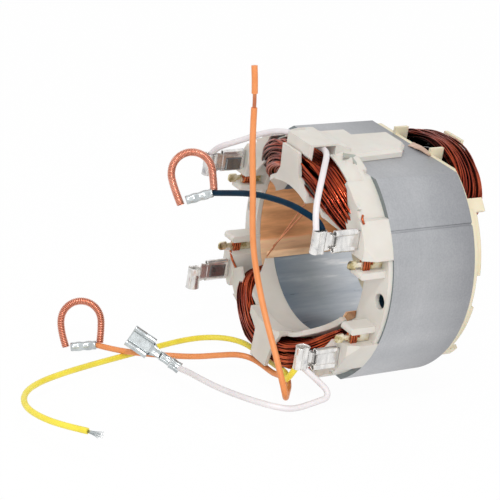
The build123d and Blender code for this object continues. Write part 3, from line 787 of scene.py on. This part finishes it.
# painted shade: a dark copy of the front nylon for the latch notch
painted_shade_nylon = nylon("painted_shade_nylon", (0.4, 0.41, 0.36), (0.33, 0.34, 0.3))
rear_nylon = nylon("rear_nylon", (0.8, 0.73, 0.565), (0.72, 0.64, 0.46))
steel = stack_steel()
copper = enamelled_copper()
strands = bare_copper("bare_strands", (0.72, 0.3, 0.14), (0.5, 0.16, 0.08))
copper_end = bare_copper("winding_end", (0.62, 0.17, 0.06), (0.36, 0.07, 0.03))
spring_wire = bare_copper("spring_copper_wire", (0.84, 0.42, 0.31), (0.7, 0.3, 0.2), 0.02)
spring_painted_shade_core = bare_copper("spring_painted_shade_core", (0.42, 0.1, 0.045), (0.3, 0.06, 0.03), 0.02)
brass = dull_brass()
paper = slot_paper("slot_paper")
flap_paper = slot_paper("flap_paper", (0.62, 0.84, 1.35))
dark_paper = slot_paper("dark_paper", (0.42, 0.36, 0.3))
tin = tinned_steel("tinned_steel")
# painted shade: a dark copy of the tinned steel for the window panels
painted_shade_tin = tinned_steel("painted_shade_tin", (0.3128, 0.34, 0.3536))
dull_tin = tinned_steel("dull_tin", (0.6808, 0.74, 0.7696))
white = insulation("white_sleeve", (0.77, 0.73, 0.735), (0.7, 0.66, 0.67))
navy = insulation("navy_sleeve", (0.003, 0.027, 0.055), (0.002, 0.015, 0.034), 0.4, 0.06)
orange = insulation("orange_sleeve", (0.8, 0.3, 0.105), (0.72, 0.245, 0.072))
yellow = insulation("yellow_sleeve", (0.92, 0.78, 0.075), (0.8, 0.66, 0.05))

# The four corners of the front plate, with the side of X and Z on which each lies
CORNERS = {"upper_right": (1, 1), "lower_right": (1, -1), "lower_left": (-1, -1), "upper_left": (-1, 1)}

node_materials = {
    "lamination_stack": steel,
    "front_end_plate": front_nylon,
    "wire_duct": front_nylon,
    "rear_end_plate": rear_nylon,
    "right_slot_liner": paper,
    "left_slot_liner": paper,
    "first_cross_wire": strands,
    "second_cross_wire": strands,
    "orange_strands": strands,
    "orange_end_sleeve": orange,
}
for corner in CORNERS:
    node_materials[f"{corner}_tab_terminal"] = tin
    node_materials[f"{corner}_hook_terminal"] = brass
for node_name, node_material in node_materials.items():
    slots = nodes[node_name].data.materials
    slots.clear()
    slots.append(node_material)

make_winding("upper_winding", "upper_field_coil", seed=3, turned=False)
make_winding("lower_winding", "lower_field_coil", seed=8, turned=True)

# Routes of the loose leads, in millimetres
LEAD_DIAMETER = 2.1
jumper_points = [
    (-36.8, -42.7, 24.5), (-34.9, -42.2, 27.0), (-31.9, -40.8, 29.4), (-28.9, -38.2, 31.6),
    (-25.2, -35.0, 34.5), (-21.8, -32.3, 37.1), (-16.6, -30.2, 39.8), (-9.7, -28.7, 41.6),
    (-1.5, -28.1, 42.0), (4.4, -27.6, 42.2), (10.0, -27.9, 42.6), (16.0, -31.4, 43.2),
    (21.4, -35.6, 42.4), (27.0, -40.0, 39.4), (31.4, -43.7, 34.4), (34.8, -45.7, 29.9),
    (36.8, -46.0, 26.3),
]
navy_points = [
    (36.8, -43.5, 26.3), (34.8, -43.8, 28.3), (31.6, -44.9, 28.9), (24.3, -46.5, 29.5),
    (16.1, -47.0, 28.4), (4.6, -48.0, 25.9), (-4.6, -48.5, 22.8), (-12.4, -49.0, 19.7),
    (-21.2, -49.7, 16.2),
]
orange_points = [
    (-36.4, -79.7, -46.4), (-29.9, -77.0, -45.2), (-21.9, -72.0, -43.4), (-15.5, -62.3, -42.6),
    (-12.4, -53.0, -42.8), (-11.0, -44.4, -42.6), (-9.6, -37.2, -42.5), (-6.6, -32.6, -43.2),
    (-1.4, -30.6, -44.2), (3.8, -30.4, -44.2), (8.4, -30.3, -43.0), (12.6, -31.2, -41.2),
    (17.2, -33.4, -39.2), (22.6, -36.6, -37.6), (28.0, -40.2, -36.2), (33.3, -44.4, -35.2),
    (37.8, -47.8, -34.2), (39.6, -49.6, -31.8), (38.8, -50.4, -28.6), (36.0, -51.0, -24.0),
    (31.7, -51.2, -18.6), (25.8, -51.4, -12.2), (20.5, -51.6, -5.4), (16.1, -52.0, 1.9),
    (12.2, -52.3, 9.4), (9.9, -52.6, 17.5), (8.5, -53.0, 26.1), (6.4, -53.4, 36.0), (4.4, -54.0, 45.8),
    (3.3, -54.4, 56.8),
]
yellow_points = [
    (36.8, -45.0, -23.6), (35.9, -46.2, -27.0), (33.0, -45.8, -30.0), (28.6, -42.8, -31.6),
    (23.0, -38.8, -33.6), (16.8, -34.2, -37.2), (9.6, -30.6, -39.9), (0.6, -27.6, -43.0),
    (-11.0, -26.4, -44.6), (-21.5, -26.4, -45.2), (-29.0, -30.2, -46.2), (-32.6, -37.6, -46.8),
    (-33.0, -46.0, -47.1), (-31.5, -56.3, -47.3), (-28.0, -70.5, -47.1), (-22.6, -86.3, -45.7),
    (-16.5, -100.5, -43.9), (-12.4, -110.1, -43.1), (-9.1, -116.3, -42.6), (-4.1, -122.5, -41.7),
    (3.2, -127.6, -40.3), (11.7, -130.4, -38.9), (21.2, -130.2, -37.2), (30.4, -127.4, -35.6),
    (38.8, -122.4, -34.1),
]
white_points = [
    (36.8, -42.4, -23.6), (38.6, -39.9, -25.8), (41.0, -37.5, -28.0), (43.7, -35.5, -30.1),
    (45.2, -36.5, -31.9), (45.4, -39.6, -32.4), (45.2, -43.0, -33.2), (45.0, -46.7, -34.0),
    (44.2, -50.2, -34.5), (42.2, -53.6, -34.4), (39.0, -57.0, -34.3), (33.6, -59.3, -35.1),
    (23.8, -61.7, -36.9), (15.0, -63.0, -38.4), (6.6, -63.4, -39.8), (-1.0, -63.2, -41.4),
    (-5.3, -63.5, -42.4),
]
YELLOW_TIP = (44.2, -119.9, -33.2)


def make_lead(name, points, material):
    piece = curve_piece(name + "_cord", points, LEAD_DIAMETER, material)
    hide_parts(name)
    length = line_length(points)


# Receptacles of rolled sheet in millimetres, about their mouth, which opens towards +Y
SHEET = 0.36
BACK = SHEET / 2 - 1.3
BACK_HALF_WIDTH = 1.5
ROLL = 0.95
ROLL_HEIGHT = 2.9
ROLL_ANGLES = range(-90, 211, 25)
BODY_LENGTH = 8.6
NECK_CROWN = 0.12
BARREL_CENTRE = 1.9
BARREL_MIDDLE = -0.15
BARREL_HALF_DEPTH = 1.62
BARREL_HALF_WIDTH = 2.15
BARREL_ANGLES = range(90, 181, 18)
MOUTH = Vector((36.8, -29.7, 21.5))
STRIP = [(share, 0.0) for share in (-1.0, -0.5, 0.0, 0.5, 1.0)]


def swept_sheet(profile, stations, place):
    """Sheet through the places of the profile's points at each station along the sweep."""
    vertices = [place(a, b, *station) for station in stations for a, b in profile]
    return vertices, ring_faces(len(profile), len(stations), False)


def rolled_body():
    """Flat back whose two edges roll over and inwards; a station is y and the profile's growth."""
    half = [(BACK, 0.0), (BACK, BACK_HALF_WIDTH)]
    for degrees in ROLL_ANGLES:
        angle = math.radians(degrees)
        half.append((BACK + ROLL + ROLL * math.sin(angle), ROLL_HEIGHT + ROLL * math.cos(angle)))
    profile = [(x, -z) for x, z in reversed(half[1:])] + half
    front = ((0.0, 1.06), (-0.5, 1.0), (-4.2, 1.0), (-4.5, 0.97))
    rear = ((-4.9, 0.97), (-5.2, 1.0), (-8.2, 1.0), (-BODY_LENGTH, 1.03))

    def place(x, z, y, grow):
        return Vector((BACK + (x - BACK) * grow, y, z * (0.6 + 0.4 * grow)))

    return swept_sheet(profile, front + rear, place)


def neck_strip(neck):
    """Strip between body and barrel, crowned across; a station is y, half width and lift."""
    end = -BODY_LENGTH - neck
    stations = (
        (-8.4, 2.6, 0.0), (-8.9, 2.9, 0.0), (-9.6, 3.2, 0.05), (end, 3.5, 0.0), (end - 0.3, 3.5, 0.0),
    )

    def place(share, _, y, width, lift):
        return Vector((BACK + lift + NECK_CROWN * (1 - share * share), y, share * width))

    return swept_sheet(STRIP, stations, place)


def crimp_barrel(shift, neck):
    """Barrel across the tab: two wings rolled in until they meet on the side away from the strip."""
    barrel_y = -BODY_LENGTH - neck - BARREL_CENTRE
    right = [(1.62, 0.15), (1.1, 0.3), (1.55, 0.75), (1.72, 1.35), (1.2, 2.0), (0.5, 2.28)]
    for degrees in BARREL_ANGLES:
        angle = math.radians(degrees)
        deep = BARREL_MIDDLE + BARREL_HALF_DEPTH * math.cos(angle)
        right.append((deep, BARREL_HALF_WIDTH * math.sin(angle)))
    left = [(x, -y) for x, y in reversed(right[:-1])]
    lower = ((-4.0, 1.08), (-3.6, 1.0), (-1.6, 0.98), (-1.2, 0.93))
    upper = ((-0.8, 0.98), (0.4, 1.0), (3.6, 1.0), (4.0, 1.08))

    def place(x, y, z, grow):
        return Vector((x * grow, barrel_y + y * grow, z + shift))

    return swept_sheet(right + left, lower + upper, place)


def sheet_piece(name, node, sheets, place, material):
    """Piece of thin sheets in place of a node; place puts a point on the object."""
    vertices, faces = [], []
    for sheet_vertices, sheet_faces in sheets:
        base = len(vertices)
        vertices.extend(place(vertex) * MM for vertex in sheet_vertices)
        faces.extend(tuple(base + k for k in face) for face in sheet_faces)
    piece = mesh_piece(name, vertices, faces, material)
    solid = piece.modifiers.new("sheet", "SOLIDIFY")
    solid.thickness = SHEET * MM
    solid.offset = 0.0
    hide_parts(node)
    return piece


def make_receptacle(corner, shift, neck):
    """Flag receptacle on the tab of a corner."""
    side, level = CORNERS[corner]

    def place(vertex):
        spot = MOUTH + vertex
        return Vector((spot.x * side, spot.y, spot.z * level))

    sheets = [rolled_body(), neck_strip(neck), crimp_barrel(shift, neck)]
    piece = sheet_piece(f"{corner}_rolled_receptacle", f"{corner}_flag_receptacle", sheets, place, tin)
    rounded = piece.modifiers.new("rounded", "BEVEL")
    rounded.width = 0.08 * MM
    rounded.segments = 2
    rounded.limit_method = "ANGLE"


make_receptacle("upper_right", shift=0.9, neck=4.5)
make_receptacle("lower_right", shift=-1.8, neck=3.5)
make_receptacle("lower_left", shift=2.4, neck=2.5)
make_receptacle("upper_left", shift=-1.0, neck=2.5)

# Loose ends of the slot paper, in millimetres
PAPER_THICKNESS = 0.3
PAPER_COLUMNS = 12
PAPER_ROWS = 8
CREASE_SCALE = 0.35
CREASE_HEIGHT = 0.25


def paper_rim():
    """Row and column of each point round the edge of a leaf."""
    first = [(0, column) for column in range(PAPER_COLUMNS)]
    second = [(row, PAPER_COLUMNS) for row in range(PAPER_ROWS)]
    third = [(PAPER_ROWS, column) for column in range(PAPER_COLUMNS, 0, -1)]
    fourth = [(row, 0) for row in range(PAPER_ROWS, 0, -1)]
    return first + second + third + fourth


def folded_paper(name, corners, bend, material):
    """A small leaf of liner paper between four corners, with a soft bend."""
    first, second, third, fourth = (Vector(corner) for corner in corners)
    normal = (second - first).cross(fourth - first).normalized()
    vertices, faces = [], []
    for side in (-0.5, 0.5):
        for row in range(PAPER_ROWS + 1):
            for column in range(PAPER_COLUMNS + 1):
                u, v = column / PAPER_COLUMNS, row / PAPER_ROWS
                point = first.lerp(second, u).lerp(fourth.lerp(third, u), v)
                crease = noise.noise(point * CREASE_SCALE) * CREASE_HEIGHT
                wave = math.sin(math.pi * u) * bend + crease
                vertices.append((point + normal * (wave + side * PAPER_THICKNESS)) * MM)
    stride = PAPER_COLUMNS + 1
    shift = stride * (PAPER_ROWS + 1)
    for row in range(PAPER_ROWS):
        for column in range(PAPER_COLUMNS):
            a = row * stride + column
            faces.append((a, a + stride, a + stride + 1, a + 1))
            faces.append((a + shift, a + shift + 1, a + shift + stride + 1, a + shift + stride))
    rim = [row * stride + column for row, column in paper_rim()]
    for a, b in zip(rim, rim[1:] + rim[:1]):
        faces.append((a, b, b + shift, a + shift))
    mesh_piece(name, vertices, faces, material, smooth=False)


rear_flap = ((0.0, 14.6, 37.8), (10.6, 16.2, 37.75), (9.6, 18.4, 37.9), (-1.4, 18.0, 38.0))
right_end = ((24.9, -19.3, -11.9), (30.4, -19.3, -8.6), (30.4, -19.3, -11.2), (24.9, -19.3, -15.6))
folded_paper("rear_paper_flap", rear_flap, 0.35, flap_paper)
folded_paper("right_paper_end", right_end, 0.3, dark_paper)

# Bare ends of the windings on their way to the hooks, in millimetres
END_DIAMETER = 0.85
wire_ends = {
    "left_wire_end": (
        (-38.2, -27.6, -15.4), (-34.6, -29.2, -16.4), (-34.0, -28.4, -18.0), (-34.0, -26.0, -22.0),
        (-33.8, -23.8, -25.2), (-31.0, -22.6, -28.6),
    ),
    "upper_left_wire_end": (
        (-38.0, -27.0, 15.2), (-34.4, -26.4, 17.2), (-34.0, -24.8, 19.8), (-34.0, -23.0, 21.9),
        (-31.6, -22.4, 25.0),
    ),
    "right_wire_end": ((35.0, -27.0, 29.2), (35.9, -27.8, 28.7), (36.6, -27.9, 28.1), (37.0, -27.4, 27.0)),
    "lower_right_wire_end": (
        (38.0, -26.0, -15.2), (35.0, -27.0, -15.8), (34.0, -26.4, -19.0), (33.6, -25.4, -23.6),
        (31.4, -24.6, -27.0),
    ),
}
for end_name, end_points in wire_ends.items():
    curve_piece(end_name, end_points, END_DIAMETER, copper_end)

# Wraps on the hooks, in millimetres
HOOK_PLANE = 39.0
HOOK_HEIGHT = 13.4
WRAP_START = -23.6
WRAP_TURNS = 3.5
WRAP_STEPS = 20
WRAP_PITCH = 0.95
WRAP_HALF_WIDTH = 0.95
WRAP_HALF_HEIGHT = 2.3
WRAP_SHAPE = 0.6
WRAP_WIRE_RADIUS = 0.4


def hook_wraps(corner):
    """Turns of the winding's end round the blade of a hook, from the plate outwards."""
    side, level = CORNERS[corner]
    path = []
    for i in range(int(WRAP_TURNS * WRAP_STEPS) + 1):
        angle = 2 * math.pi * i / WRAP_STEPS
        across = power(math.cos(angle), WRAP_SHAPE) * WRAP_HALF_WIDTH
        up = power(math.sin(angle), WRAP_SHAPE) * WRAP_HALF_HEIGHT
        along = WRAP_START - WRAP_PITCH * i / WRAP_STEPS
        path.append(Vector((side * (HOOK_PLANE + across), along, level * HOOK_HEIGHT + up)))
    vertices, faces = [], []
    add_tube(vertices, faces, path, WRAP_WIRE_RADIUS, sides=8)
    mesh_piece(f"{corner}_hook_wraps", vertices, faces, copper_end)


for corner in CORNERS:
    hook_wraps(corner)

# Painted shade in the latch notch and on the back panels, in millimetres
NOTCH_DEPTH = 0.5
PANEL_X = -35.3
PANEL_Y = -33.9


def latch_notch_painted_shade():
    """Dark nylon piece as painted shade in the step of the jumper clip's latch, a shallow L on the plate's
    upper edge.
    """
    outline = [
        (13.8, -23.0, 41.35), (14.4, -19.8, 41.35), (16.9, -20.8, 40.45),
        (17.9, -19.9, 40.05), (12.8, -17.3, 41.35), (10.4, -20.8, 41.35),
    ]
    count = len(outline)
    vertices = [Vector(spot) * MM for spot in outline]
    vertices += [Vector((x, y, z - NOTCH_DEPTH)) * MM for x, y, z in outline]
    faces = [(0, 1, 4, 5), (1, 2, 3, 4), (6, 11, 10, 7), (7, 10, 9, 8)]
    faces += [(k, k + count, (k + 1) % count + count, (k + 1) % count) for k in range(count)]
    mesh_piece("latch_notch_painted_shade", vertices, faces, painted_shade_nylon, smooth=False)


def back_panel(name, height):
    """Dark stamped panel on the back of a left receptacle, in three steps; its darkness is painted shade in
    the window.
    """
    outline = [(-30.8, -2.3), (-30.6, 2.2), (-36.9, 2.3), (-37.1, -2.2)]
    vertices = []
    for grow, out in ((1.0, 0.0), (0.94, 0.06), (0.8, 0.04)):
        for y, z in outline:
            spot = Vector((PANEL_X + out, PANEL_Y + (y - PANEL_Y) * grow, height + z * grow))
            vertices.append(spot * MM)
    faces = ring_faces(4, 3, True) + [(8, 9, 10, 11), (3, 2, 1, 0)]
    mesh_piece(name, vertices, faces, painted_shade_tin, smooth=False)


latch_notch_painted_shade()
back_panel("upper_left_panel", 20.5)
back_panel("lower_left_panel", -21.5)

# Shares of a crimp's length, with its half depth and half width there in millimetres
CRIMP_STATIONS = (
    (0.0, 1.62, 1.5), (0.04, 1.7, 1.6), (0.16, 1.66, 1.55), (0.26, 1.15, 1.7), (0.36, 1.15, 1.7),
    (0.46, 1.6, 1.5), (0.54, 1.6, 1.5), (0.64, 1.1, 1.7), (0.76, 1.15, 1.7), (0.86, 1.6, 1.5),
    (0.96, 1.7, 1.6), (1.0, 1.62, 1.5),
)
CRIMP_SIDES = 24
CRIMP_SHAPE = 0.8


def make_crimp(name, node, centre, start, end):
    """Butt crimp, pressed flat twice, from one leg of a spring to the other."""
    first, last = ring_point(centre, *start), ring_point(centre, *end)
    side = (last - first).normalized().cross(RING_NORMAL).normalized()
    vertices = []
    for place, deep, wide in CRIMP_STATIONS:
        for k in range(CRIMP_SIDES):
            angle = 2 * math.pi * k / CRIMP_SIDES
            across = side * power(math.cos(angle), CRIMP_SHAPE) * wide
            out = RING_NORMAL * power(math.sin(angle), CRIMP_SHAPE) * deep
            vertices.append((first.lerp(last, place) + across + out) * MM)
    rings = len(CRIMP_STATIONS)
    faces = ring_faces(CRIMP_SIDES, rings, True) + cap_faces(CRIMP_SIDES, 0, rings - 1)
    piece = mesh_piece(name, vertices, faces, dull_tin)
    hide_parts(node)
    return piece


# Receptacle at the end of the white lead, in millimetres
FREE_PLACE = Vector((-19.9, -76.3, -34.8))
FREE_X = Vector((0.76, -0.52, 0.385)).normalized()
FREE_Z = Vector((0.04, -0.55, -0.83))
FREE_Z = (FREE_Z - FREE_X * FREE_X.dot(FREE_Z)).normalized()
FREE_Y = FREE_Z.cross(FREE_X)


def free_neck():
    """Strip that curls up towards the crimps; a station is y, half width and curl."""
    stations = ((-8.4, 2.7, 0.0), (-9.4, 2.2, 0.1), (-10.6, 1.6, 0.4), (-12.0, 1.3, 0.8), (-13.2, 1.3, 0.9))

    def place(share, _, y, width, curl):
        return Vector((BACK + curl * share * share, y, share * width))

    return swept_sheet(STRIP, stations, place)


def inline_crimp(start, wide, deep):
    """Crimp along the lead, with its two edges turned in between the strands."""
    edge = [(deep * 0.94, 0.12), (deep * 0.6, 0.25), (deep * 0.9, wide * 0.5), (deep * 0.75, wide * 0.85)]
    half = edge + [(0.0, wide), (-deep * 0.7, wide * 0.8), (-deep, wide * 0.35)]
    loop = half + [(x, -z) for x, z in reversed(half)]
    stations = ((0.0, 1.05), (-0.4, 1.0), (-1.6, 0.95), (-2.0, 0.9), (-2.4, 0.95), (-3.5, 1.0), (-3.8, 1.04))

    def place(x, z, y, grow):
        return Vector((x * grow, start + y, z * grow))

    return swept_sheet(loop, stations, place)


def make_free_receptacle():
    """Straight receptacle of rolled sheet with two crimps in line."""

    def place(vertex):
        return FREE_PLACE + FREE_X * vertex.x + FREE_Y * vertex.y + FREE_Z * vertex.z

    sheets = [rolled_body(), free_neck(), inline_crimp(-12.9, 1.45, 1.3), inline_crimp(-17.0, 1.85, 1.65)]
    return sheet_piece("free_rolled_receptacle", "free_receptacle", sheets, place, dull_tin)


# Bare strands at the yellow lead's end, in millimetres
FRAY_STRANDS = 11
FRAY_STEPS = 6
FRAY_WIRE_RADIUS = 0.13
FRAY_TURN = 2.4
FRAY_FLATNESS = 0.6
FRAY_SHORTEST = 0.75
FRAY_CORE = 0.12
FRAY_BUNDLE = 0.34
FRAY_FAN = 1.1


def frayed_strands(name, node, first, last):
    """Tinned strands that fan out of the end of a lead."""
    start, tip = Vector(first), Vector(last)
    random.seed(21)
    vertices, faces = [], []
    for i in range(FRAY_STRANDS):
        angle = FRAY_TURN * i
        outward = Vector((math.cos(angle), FRAY_FLATNESS * math.sin(angle), math.sin(angle)))
        reach = random.uniform(FRAY_SHORTEST, 1.0)
        path = []
        for k in range(FRAY_STEPS + 1):
            u = k / FRAY_STEPS * reach
            fan = FRAY_FAN * u * u * (0.25 + i / 14)
            away = FRAY_CORE + FRAY_BUNDLE * i / FRAY_STRANDS + fan
            path.append(start + (tip - start) * u + outward * away)
        add_tube(vertices, faces, path, FRAY_WIRE_RADIUS, sides=6)
    piece = mesh_piece(name, vertices, faces, dull_tin)
    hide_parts(node)
    return piece


upper_ring = (-27.9, -55.2, 21.6)
lower_ring = (-42.8, -83.8, -39.3)
upper_spring = make_spring("upper_spring", upper_ring, (-3.9, -11.2), (7.6, -6.3), 0.5, 0.46)
lower_spring = make_spring("lower_spring", lower_ring, (-5.4, -9.3), (6.7, -7.8), 0.6, 0.38)
upper_crimp = make_crimp("upper_crimp", "upper_splice", upper_ring, (-2.1, -9.6), (7.2, -7.0))
lower_crimp = make_crimp("lower_crimp", "lower_splice", lower_ring, (-3.6, -9.3), (5.4, -8.6))
loose_receptacle = make_free_receptacle()
yellow_fray = frayed_strands("yellow_fray", "yellow_strands", yellow_points[-1], YELLOW_TIP)
make_lead("jumper_lead", jumper_points, white)
make_lead("navy_lead", navy_points, navy)
make_lead("orange_lead", orange_points, orange)
make_lead("yellow_lead", yellow_points, yellow)
make_lead("white_lead", white_points, white)

scene.view_settings.view_transform = "Standard"
